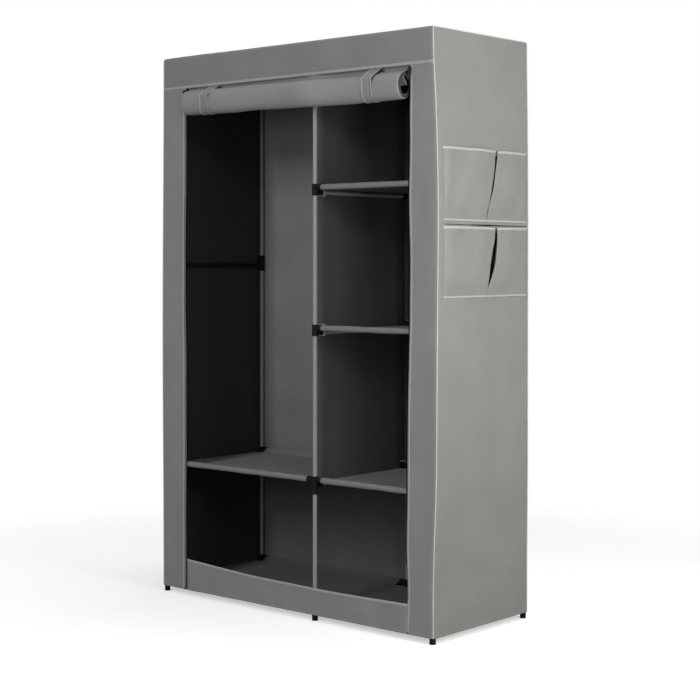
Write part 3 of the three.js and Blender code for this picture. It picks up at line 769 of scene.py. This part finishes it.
# It lies set back in the gap over the roll. Lower down it comes forward, to clear the shelves when it drops.
gap_top, gap_foot, forward_from = 1.603, 1.5865, 1.583
set_back = [
    (1.541, 0), (forward_from, 0), (gap_foot, 0.5), (1.59, 0.42), (1.598, 0.2), (1.605, 0.05), (1.61, 0),
]
at_post = hump(x, column["middle"], 0.03)
hollow = 5 * mm * hump(x, column["middle"], 0.14) * (1 - at_post)
from_edge = np.minimum(x - sheet_low.x, sheet_high.x - x)
forward = mm * (2.8 + 2.1 * ease(from_edge, 0.012, 0.04)) * ease(z, 1.5868, forward_from)
y = y + roll_back(x) * curve_through(set_back, z)
y = y + hollow * ease(z, gap_top, 1.594) * ease(z, forward_from, gap_foot)
y = y - np.maximum(forward, 1.8 * mm * at_post * ease(z, gap_top, 1.596))
flat = np.stack([x, z - fall], -1)
# It narrows to the roll's length.
narrow = ease(z, 1.593, 1.582)
x = x + (roll_start + 1.5 * mm - sheet_low.x) * narrow * np.clip(1 - (x - sheet_low.x) / 0.12, 0, 1)
x = x - (sheet_high.x - roll_end + 1.5 * mm) * narrow * np.clip(1 - (sheet_high.x - x) / 0.12, 0, 1)
door_shape = Shape().grid(np.stack([x, y, z], -1), flat, (0, -1, 0))
door_piece = door_shape.build("door_sheet_cloth", [plain_cloth, shaded_inner_cloth], body=None)
thicken(door_piece, offset=-1, inner=1)
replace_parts(door_piece, "door_sheet")
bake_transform(door_piece)

# Ties: a strap with bound edges comes out of the header seam, over the front of the roll and round its back.
tie_width = 43 * mm
tie_columns = np.array([0, 0.5, 3.6, 4.2, 10, 21.5, 33, 38.8, 39.4, 42.5, 43]) * mm
tie_lift = np.array([0.3, 0.9, 0.9, 0.1, 0.15, 0.2, 0.15, 0.1, 0.9, 0.9, 0.3]) * mm
tie_bands = np.array([1, 1, 1, 0, 0, 0, 0, 1, 1, 1])
wrap_turns = np.linspace(0.5, -0.1, 40)
tab_shares = np.array([0, 0.2, 0.4, 0.55, 0.7, 0.82, 0.91, 0.96, 1])[:, None]
fall_shares = np.array([0.08, 0.25, 0.45, 0.65, 0.85])[:, None]
tie_pieces = []
for side, lean, aside in (("left", 11 * mm, 8 * mm), ("right", 5 * mm, 0)):
    low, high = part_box(f"tie_{side}")
    columns = low.x + tie_columns * ((high.x - low.x) / tie_width)
    centre_x = (low.x + high.x) / 2
    rows = []
    for c, l in zip(columns, tie_lift):
        strap_x = centre_x - aside + (c - centre_x) * 0.9
        on_roll = roll_point(strap_x, wrap_turns, lift=1.6 * mm + l)
        on_roll[:, 0] -= lean * ease(wrap_turns, 0.5, 0.26)
        seam = np.array([c, front - 1.0 * mm - l, header_edge - 1.5 * mm])
        fold = np.array([strap_x, on_roll[0, 1] - 1.5 * mm, header_edge - 33 * mm + l])
        tab = seam + (fold - seam) * tab_shares + np.array([0, 0, 1 * mm]) * np.sin(np.pi * tab_shares)
        rows.append(np.concatenate([tab, fold + (on_roll[0] - fold) * fall_shares, on_roll]))
    places = np.array(rows)
    flat = flat_grid(columns, run_along(places[5]))
    facing = (places - np.array([0, roll_y + roll_back(low.x), roll_z])) * np.array([0, 1, 1])
    band = np.tile(tie_bands[:, None], (1, places.shape[1] - 1))
    band[:, len(tab_shares) - 2] = 1
    shape = Shape().grid(places, flat, facing, slots=band)
    piece = shape.build(f"tie_{side}_strap", [plain_cloth, binding_tape])
    thicken(piece, 0.7 * mm, offset=-1)
    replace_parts(piece, f"tie_{side}")
    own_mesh(piece)
    tie_pieces.append(piece)


# Pockets
# Where the cover's right side is at (y, z), for what is sewn on it.
def side_at(y, z):
    x, ys, zs = right_places[..., 0], right_places[:, 5, 1], right_places[5, :, 2]
    iu = np.clip(np.interp(y, ys, np.arange(len(ys))), 0, len(ys) - 1.001)
    iv = np.clip(np.interp(z, zs, np.arange(len(zs))), 0, len(zs) - 1.001)
    a, b = iu.astype(int), iv.astype(int)
    s, t = iu - a, iv - b
    low, high = (x[a, b + k] * (1 - s) + x[a + 1, b + k] * s for k in (0, 1))
    return low * (1 - t) + high * t


# The slit between a row's two pockets, as (height, y in mm, gap in mm)
slit_lines = {
    "upper": [(1.164, 42, 0.6), (1.193, 48.5, 3), (1.256, 67.2, 7), (1.325, 82.7, 8), (1.371, 88.5, 8)],
    "lower": [
        (0.95, 46, 0.6), (0.982, 53, 1.5), (1.0, 58, 7), (1.047, 67, 20), (1.079, 73, 18), (1.116, 80, 12),
        (1.15, 81, 8),
    ],
}
# Where each pocket stands furthest out, at its foot and at its mouth, as y in mm
ridge_lines = {
    ("upper", "front"): (-60, -20), ("upper", "back"): (95, 165),
    ("lower", "front"): (-45, -30), ("lower", "back"): (110, 150),
}
pocket_shares = np.concatenate([np.linspace(0, 1, 30), [0.008, 0.02, 0.035, 0.06, 0.94, 0.965, 0.985]])
pocket_shares = np.unique(np.round(pocket_shares, 6))
pocket_slack = 14 * mm
outward, upward = np.array([1.0, 0, 0]), np.array([0, 0, 1.0])
pocket_tapes = Shape()
pocket_pieces, gusset_pieces = [], []
for row, seeds in (("upper", (131, 151)), ("lower", (141, 161))):
    low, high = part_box(f"pocket_row_{row}")
    height = high.z - low.z
    slit_line, gap_line = ([(place[0], place[k]) for place in slit_lines[row]] for k in (1, 2))
    shape = Shape()
    vs = stops(0, height, 0.008, ends=(2, 4, 7, 12))
    for part, seed in zip(("front", "back"), seeds):
        s, v = np.meshgrid(pocket_shares, vs, indexing="ij")
        z = low.z + v
        slit, gap = curve_through(slit_line, z) * mm, curve_through(gap_line, z) * mm / 2
        if part == "front":
            sewn_at, free_at = low.y, slit - gap
            y = sewn_at + (free_at - sewn_at) * s
        else:
            sewn_at, free_at = high.y, slit + gap
            y = free_at + (sewn_at - free_at) * s
        away = np.abs(y - sewn_at)
        stand = 6.2 * mm * ease(away, 0, 0.018) * ease(v, 0, 0.05) * (0.35 + 0.65 * v / height)
        ridge_foot, ridge_mouth = ridge_lines[row, part]
        ridge = (ridge_foot + (ridge_mouth - ridge_foot) * v / height) * mm
        toward, from_ridge = np.maximum(ridge - y, 0), np.maximum(y - ridge, 0)
        bulge = np.exp(-toward / 0.09 - from_ridge / 0.05) * ease(away, 0, 0.02)
        stand += 5.5 * mm * ease(v, 0, 0.07) * bulge
        curl = -2.8 * mm * (1 - ease(np.abs(y - free_at), 0, 0.012))
        soft = 4.2 * noise((y - 0.5 * v) / 0.055, (v + 0.5 * y) / 0.2, seed)
        soft = soft + 1.2 * noise(y / 0.04, v / 0.05, seed + 1)
        soft = mm * ease(away, 0, 0.03) * ease(v, 0, 0.04) * soft
        x = side_at(y, z) + 0.9 * mm + np.maximum(stand + curl + soft, 0)
        places = np.stack([x, y, z + 1.2 * mm * noise(y / 0.08, 0.4, seed + 2) * v / height], -1)
        shape.grid(places, np.stack([y, v], -1), (1, 0, 0))
        mouth, foot = places[:, -1], places[:, 0] + np.array([0.1, 0, 1.2]) * mm
        fold_tape(pocket_tapes, mouth, places[:, -2] - mouth, outward, 6.5 * mm, 1.2 * mm)
        fold_tape(pocket_tapes, foot, upward, outward, 4.5 * mm, 0.9 * mm)
    piece = thicken(shape.build(f"pocket_row_{row}_cloth", [plain_cloth, shaded_inner_cloth]), 0.7 * mm, inner=1)
    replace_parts(piece, f"pocket_row_{row}")
    pocket_pieces.append(piece)
    # The pleat behind the slit, and a strip at the lower row's open mouth, in near-black cloth: painted shade
    gusset = Shape()
    v = stops(4 * mm, height - 14 * mm, 0.008, ends=())
    s, v = np.meshgrid(np.linspace(-1, 1, 7), v, indexing="ij")
    z = low.z + v
    y = curve_through(slit_line, z) * mm + s * pocket_slack
    gusset.grid(np.stack([side_at(y, z) + 0.35 * mm, y, z], -1), np.stack([y, v], -1), (1, 0, 0))
    if row == "lower":
        y = np.linspace(low.y + 4 * mm, high.y - 4 * mm, 50)
        y, t = np.meshgrid(y, np.linspace(-1, 1, 3), indexing="ij")
        z = high.z + 6.5 * mm + t * mm * (0.7 + 1.0 * hump(y, 0.05, 0.06) + 0.3 * noise(y / 0.03, 0.5, 147))
        gusset.grid(np.stack([side_at(y, z) + 2.5 * mm, y, z], -1), np.stack([y, z], -1), (1, 0, 0))
    # The pleat and the mouth strip are painted shade.
    gusset_piece = thicken(gusset.build(f"pocket_row_{row}_gusset", [painted_shade_cloth]), 0.3 * mm, offset=1)
    gusset_pieces.append((gusset_piece, (2 * pocket_slack, height - 18 * mm)))
pocket_tapes_piece = pocket_tapes.build("pocket_bindings", [pocket_tape])

# Cloth shelves
reach = socket_reach + 0.3 * mm
sleeve = tube_radius + 1.5 * mm
arm_step = 7 * mm
front_sleeve, flat_part, back_sleeve = range(3)


# A shelf's cloth from front to back: round the front tube, down to the sheet, up and round the back tube.
def make_shelf(node_name, level, bays, seed, sag):
    cross_z, sheet_z = level + arm_step, level + 0.6 * mm
    turns = np.radians(np.linspace(-10, -288, 20))
    ring = np.stack([np.cos(turns), np.sin(turns)], -1) * sleeve
    front_ring = np.array([row_front, cross_z]) + ring
    back_ring = (np.array([row_back, cross_z]) + ring * np.array([-1, 1]))[::-1]
    start, end = front_ring[-1, 0], back_ring[0, 0]
    ramp = 24 * mm
    clear_front, clear_back = row_front + reach, row_back - reach
    middle_y = stops(
        start + 1.5 * mm, end - 1.5 * mm, 0.014, ends=(2, 5, 8, 12, 17), extra=(clear_front, clear_back)
    )
    climb = 2 - ease(middle_y, start - 4 * mm, start + ramp) - ease(middle_y, end + 4 * mm, end - ramp)
    middle_z = sheet_z + (front_ring[-1, 1] - sheet_z) * climb
    profile = np.concatenate([front_ring, np.stack([middle_y, middle_z], -1), back_ring])
    zone = np.repeat([front_sleeve, flat_part, back_sleeve], [20, len(middle_y), 20])
    on_flat = zone == flat_part
    middle = on_flat & (profile[:, 0] >= clear_front - 1e-6) & (profile[:, 0] <= clear_back + 1e-6)
    ends = [(column[a], column[b]) for a, b in bays]
    edges = [x for a, b in ends for x in (a + reach, b - reach)]
    xs = stops(ends[0][0] - tube_radius, ends[-1][1] + tube_radius, 0.014, ends=(), extra=edges)
    x = np.broadcast_to(xs[:, None], (len(xs), len(profile)))
    y = np.broadcast_to(profile[:, 0][None], x.shape).copy()
    z = np.broadcast_to(profile[:, 1][None], x.shape).copy()
    open_span = np.zeros_like(xs)
    for a, b in ends:
        open_span = np.maximum(open_span, np.sin(np.pi * np.clip((xs - a) / (b - a), 0, 1)))
    arch = np.sin(np.pi * np.clip((y - row_front) / (row_back - row_front), 0, 1))
    hollow = sag * arch * open_span[:, None]
    lumps = mm * (0.9 * noise(x / 0.1, y / 0.1, seed) + 0.5 * noise(x / 0.04, y / 0.05, seed + 1))
    z -= np.where(on_flat[None], hollow - lumps * arch * open_span[:, None], 0)
    bulge = 1 + 0.09 * noise(x / 0.05, y / 0.02, seed + 2)
    facing = np.zeros(x.shape + (3,))
    facing[..., 2] = np.where(on_flat, 1.0, 0.0)
    for centre_y, part in ((row_front, front_sleeve), (row_back, back_sleeve)):
        here = zone == part
        y[:, here] = centre_y + (y[:, here] - centre_y) * bulge[:, here]
        z[:, here] = cross_z + (z[:, here] - cross_z) * bulge[:, here]
        facing[:, here, 1] = y[:, here] - centre_y
        facing[:, here, 2] = z[:, here] - cross_z
    mid_x = (xs[1:] + xs[:-1]) / 2
    sleeved = np.zeros(len(mid_x), bool)
    for a, b in ends:
        sleeved |= (mid_x > a + reach) & (mid_x < b - reach)
    keep = sleeved[:, None] | (middle[1:] & middle[:-1])[None]
    shape = Shape().grid(np.stack([x, y, z], -1), flat_grid(xs, run_along(profile)), facing, keep=keep)
    face = floor_cloth if node_name == "floor" else shelf_cloth
    piece = shape.build(f"{node_name}_cloth", [face, shelf_underside_painted_shade], slot="shelf_cloth")
    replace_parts(thicken(piece, offset=0, inner=1), node_name)
    return piece


both_bay_levels = ("bottom", "main", "top")
level_heights = {
    name: middle_of(f"cross_{name}_front_right", "z") - arm_step
    for name in ("bottom", "main", "middle", "upper", "top")
}
level_heights["side"] = middle_of("rung_left_side", "z")
both = [("left", "middle"), ("middle", "right")]
shelves = [
    make_shelf("floor", level_heights["bottom"], both, 171, 5 * mm),
    make_shelf("shelf_main", level_heights["main"], both, 181, 5 * mm),
    make_shelf("shelf_middle", level_heights["middle"], both[1:], 191, 5 * mm),
    make_shelf("shelf_upper", level_heights["upper"], both[1:], 201, 5 * mm),
]

# The divider hangs from a sleeve round the middle top tube.
low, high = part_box("divider")
tube_z = high.z - sleeve
angles = np.linspace(math.radians(200), math.radians(-20), 14)
ring = np.stack([column["middle"] + sleeve * np.cos(angles), tube_z + sleeve * np.sin(angles)], -1)
hub_reach = 18.5 * mm
near_hub = [level_heights[name] + sign * hub_reach for name in ("middle", "upper") for sign in (-1, 1)]
hub_top = level_heights["main"] + hub_reach + 6 * mm
drop_z = stops(low.z - 10 * mm, tube_z - 2 * mm, 0.014, ends=(), extra=(hub_top, *near_hub))[::-1]
line = np.concatenate([ring[::-1], np.stack([np.full_like(drop_z, low.x + 0.4 * mm), drop_z], -1)])
front_edge, back_edge = row_front + tube_radius + 1.5 * mm, back - 2.5 * mm
ys = np.concatenate([
    np.linspace(front_edge, low.y, 6)[:-1], stops(low.y, high.y, 0.012, ends=(2, 6, 12, 20, 25)),
    np.linspace(high.y, back_edge, 6)[1:],
])
y, k = np.meshgrid(ys, np.arange(len(line)), indexing="ij")
x, z = line[k, 0].copy(), line[k, 1].copy()
hanging = k >= len(ring)
hang = ease(z, tube_z - 0.01, tube_z - 0.12) * ease(z, low.z, low.z + 0.05)
x += mm * hang * (2.2 * noise(y / 0.11, z / 0.7, 211) + 1.0 * noise(y / 0.05, z / 0.3, 212))
# It stays clear of the tubes between its two faces.
x = np.where(hanging, np.minimum(x, column["middle"] - tube_radius - 1.1 * mm), x)
x -= 3.2 * mm * (ease(y, high.y - 0.02, high.y + 0.012) * hanging)
line_length = run_along(line)
middle_y, middle_z = ((grid[1:, 1:] + grid[:-1, :-1]) / 2 for grid in (y, z))
at_hub = middle_z > tube_z - 13 * mm
for name in ("middle", "upper"):
    at_hub |= np.abs(middle_z - level_heights[name]) < hub_reach - 1e-6
behind = (middle_y > high.y) & ((middle_z < hub_top) | (middle_z > tube_z - 16 * mm))
before = (middle_y < low.y) & at_hub
tee = (np.abs(middle_y - (row_front + row_back) / 2) < 14 * mm) & (z[1:, 1:] > tube_z - 13 * mm)
facing = np.zeros(x.shape + (3,))
facing[..., 0] = np.where(hanging, 1.0, x - column["middle"])
facing[..., 2] = np.where(hanging, 0.0, z - tube_z)
keep = ~(tee | behind | before)
shape = Shape().grid(np.stack([x, y, z], -1), flat_grid(ys, line_length), facing, keep=keep)
# Its back edge is sewn round the back post, between the connectors.
turns = np.radians(np.linspace(170, 400, 22))
post_ring = np.stack([np.cos(turns), np.sin(turns)], -1) * (tube_radius + 1.6 * mm)
for low_name, high_name in (("main", "middle"), ("middle", "upper"), ("upper", "top")):
    edge_z = stops(level_heights[low_name] + 19 * mm, level_heights[high_name] - 19 * mm, 0.014, ends=(2, 5))
    ring_z, turn = np.meshgrid(edge_z, np.arange(len(turns)), indexing="ij")
    rings = np.stack([column["middle"] + post_ring[turn, 0], row_back + post_ring[turn, 1], ring_z], -1)
    around = np.stack([turn * 1.6 * mm + high.y, ring_z], -1)
    away = np.stack([post_ring[turn, 0], post_ring[turn, 1], np.zeros_like(ring_z)], -1)
    # The ring round the post takes the near-black inner cloth: painted shade.
    shape.grid(rings, around, away, slots=1)
divider_piece = shape.build("divider_sheet", [shaded_divider_cloth, shaded_inner_cloth], slot="shelf_cloth")
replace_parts(thicken(divider_piece, offset=0), "divider")

# Collars moulded on the mouths of the connectors
collars = Shape()


def collar(centre, axis):
    axis = np.array(axis, float)
    side = unit(np.cross(axis, (0.3, 0.5, 0.8)))
    other = np.cross(axis, side)
    angles = np.linspace(0, 2 * np.pi, 24, endpoint=False)
    profile = [(8.4, 0), (9.2, 0.2), (9.55, 0.8), (9.55, 3.0), (9.2, 3.6), (8.4, 3.8)]
    spokes = np.cos(angles)[:, None] * side + np.sin(angles)[:, None] * other
    rings = np.stack([np.array(centre) + spokes * r * mm - axis * t * mm for r, t in profile], 1)
    collars.sweep(rings, loop=True, across=[t * mm for r, t in profile])


cross_tube_ways = {"left": (1,), "middle": (1, -1), "right": (-1,)}
for name in frame["nodes"]:
    if not name.startswith("rung_"):
        continue
    low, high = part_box(name)
    side, level_name = name.split("_")[1:]
    x, level = column[side], level_heights[level_name]
    for y, inward in ((row_front, 1), (row_back, -1)):
        if level_name != "bottom":
            collar((x, y, low.z), (0, 0, -1))
        if level_name != "top":
            collar((x, y, high.z), (0, 0, 1))
        collar((x, y + inward * socket_reach, level - arm_step), (0, inward, 0))
        for sign in () if level_name == "side" else cross_tube_ways[side]:
            if (side, sign) != ("middle", -1) or level_name in both_bay_levels:
                collar((x + sign * socket_reach, y, level + arm_step), (sign, 0, 0))
collars.build("connector_collars", [black_plastic], slot="connectors")

# Cloth sizes, as (piece, flat size, how it is held, what it rests on, what is sewn on it)
roll_line = roll_point(0.0, np.linspace(0, roll_turns, 4000))
roll_length = float(np.linalg.norm(np.diff(roll_line, axis=0), axis=1).sum())
top_front_tubes = ["cross_top_front_left", "cross_top_front_right"]
both_jambs, both_ties = ["jamb_left_cloth", "jamb_right_cloth"], ["tie_left_strap", "tie_right_strap"]
sheets = [
    (side_right, (depth_size, cover_height), "hung", ["rung_right_top"], [pocket_tapes_piece]),
    (side_left, (depth_size, cover_height), "hung", ["rung_left_top"], []),
    (back_piece, (width_size, cover_height), "hung", ["cross_top_back_left", "cross_top_back_right"], []),
    (top_piece, (width_size, depth_size), "stretched", top_front_tubes, [welts_piece]),
    (header_piece, (width_size, top - header_edge), "hung", top_front_tubes, [tapes_piece]),
    (jamb_left, (opening_left - left, header_edge - hem), "hung", ["header_cloth"], [teeth_piece]),
    (jamb_right, (right - opening_right, header_edge - hem), "hung", ["header_cloth"], []),
    (skirt_piece, (skirt_width, skirt_high.z - hem), "stretched", both_jambs, []),
    (roll_piece, (roll_high.x - roll_low.x, roll_length), "folded", both_ties, []),
    (door_piece, (sheet_high.x - sheet_low.x, sheet_high.z - sheet_low.z), "hung", ["header_cloth"], []),
]
sheets += [(piece, (tie_width, 210 * mm), "hung", ["header_cloth"], []) for piece in tie_pieces]
for piece in pocket_pieces:
    places = np.array([v.co for v in piece.data.vertices])
    row_size = (places.max(0) - places.min(0)).tolist()[1:]
    sheets.append((piece, tuple(row_size), "hung", ["cover_right_cloth"], []))
sheets += [(piece, flat_size, "hung", ["cover_right_cloth"], []) for piece, flat_size in gusset_pieces]
depth_cut = row_back - row_front + 4 * math.pi * sleeve * 0.83
both_bays, right_bay = column["right"] - column["left"], column["right"] - column["middle"]
for piece, bay_width in zip(shelves, (both_bays, both_bays, right_bay, right_bay)):
    sheets.append((piece, (bay_width + 2 * tube_radius, depth_cut), "stretched", ["rung_right_main"], []))
divider_size = (float(ys[-1] - ys[0]), float(line_length[-1]))
sheets.append((divider_piece, divider_size, "hung", ["rung_middle_top"], []))
for piece, flat_size, held, rests_on, with_pieces in sheets:
    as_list(rests_on)
    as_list(with_pieces)

# Camera at the photograph's place
camera_data = bpy.data.cameras.new("camera")
camera = add_object("camera", camera_data)
camera.location = (3.2113, -3.5700, 1.0536)
camera.rotation_euler = (math.radians(90), 0, math.radians(41.317))
camera_data.sensor_width = 36
camera_data.lens = 80.73
camera_data.shift_y = -0.1274
camera_data.clip_end = 200
bpy.context.scene.camera = camera


def area_light(name, place, aim, size, power, colour=(1, 1, 1)):
    data = bpy.data.lights.new(name, "AREA")
    data.shape, data.size, data.size_y, data.energy, data.color = "RECTANGLE", size[0], size[1], power, colour
    lamp = add_object(name, data)
    lamp.location = place
    way = np.array(aim, float) - np.array(place, float)
    lamp.rotation_euler = (math.atan2(math.hypot(way[0], way[1]), -way[2]), 0, math.atan2(-way[0], way[1]))
    lamp.visible_camera = False


area_light("side_light", (2.3, -0.25, 1.25), (0.5, -0.1, 1.1), (0.5, 1.4), 27, (1, 1, 0.965))
area_light("side_near", (1.7, -0.75, 1.3), (0.55, 0, 1.2), (0.4, 1.4), 4, (1, 1, 0.965))
area_light("side_front", (4.2, -3.2, 3.0), (0.3, 0, 1.0), (1.2, 1.2), 20)
area_light("front_main", (0.4, -5.2, 3.3), (0, 0, 0.9), (0.8, 1.7), 88)
area_light("front_mid", (0.5, -3.6, 1.35), (0, 0, 1.0), (0.8, 0.8), 14)
area_light("above", (0.3, 1.1, 5.0), (0, 0, 0.9), (2.5, 2.5), 80)

world = bpy.data.worlds.new("studio")
world.use_nodes = True
tree = world.node_tree
tree.nodes.clear()
path = node(tree, "LightPath")
seen = math_node(tree, "MAXIMUM", path.outputs["Is Camera Ray"], path.outputs["Is Transmission Ray"])
strength = math_node(tree, "MULTIPLY_ADD", seen, 0.84, 0.16)
ground = node(tree, "Background", {"Color": (1, 1, 1, 1), "Strength": strength})
node(tree, "OutputWorld", {"Surface": ground.outputs[0]})
bpy.context.scene.world = world

# Floor: pale and a little brighter to the camera, and it fades out into the background.
span = 2.3
floor_mesh = bpy.data.meshes.new("studio_floor")
floor_corners = [(-span, -span, 0), (span, -span, 0), (span, span, 0), (-span, span, 0)]
floor_mesh.from_pydata(floor_corners, [], [(0, 1, 2, 3)])
floor_object = add_object("studio_floor", floor_mesh)
material, tree = new_material("studio_floor")
to_camera = node(tree, "LightPath").outputs["Is Camera Ray"]
floor_grey = math_node(tree, "MULTIPLY_ADD", to_camera, 0.5, 0.3)
floor_colour = node(tree, "CombineXYZ", {0: floor_grey, 1: floor_grey, 2: floor_grey}).outputs[0]
shade = node(tree, "BsdfDiffuse", {"Color": floor_colour})
glow_strength = math_node(tree, "MULTIPLY", to_camera, 0.5)
glow = node(tree, "Emission", {"Color": (1, 1, 1, 1), "Strength": glow_strength})
near_floor = node(tree, "AddShader", {0: shade.outputs[0], 1: glow.outputs[0]}).outputs[0]
place = node(tree, "TexCoord").outputs["Object"]
distance = node(tree, "VectorMath", {0: place}, operation="LENGTH").outputs["Value"]
fade = remap(tree, distance, 1.3, 2.2, interpolation_type="SMOOTHSTEP")
floor_shader = node(tree, "MixShader", {0: fade, 1: near_floor, 2: node(tree, "BsdfTransparent").outputs[0]})
node(tree, "OutputMaterial", {"Surface": floor_shader.outputs[0]})
floor_mesh.materials.append(material)

bpy.context.scene.view_settings.view_transform = "Standard"
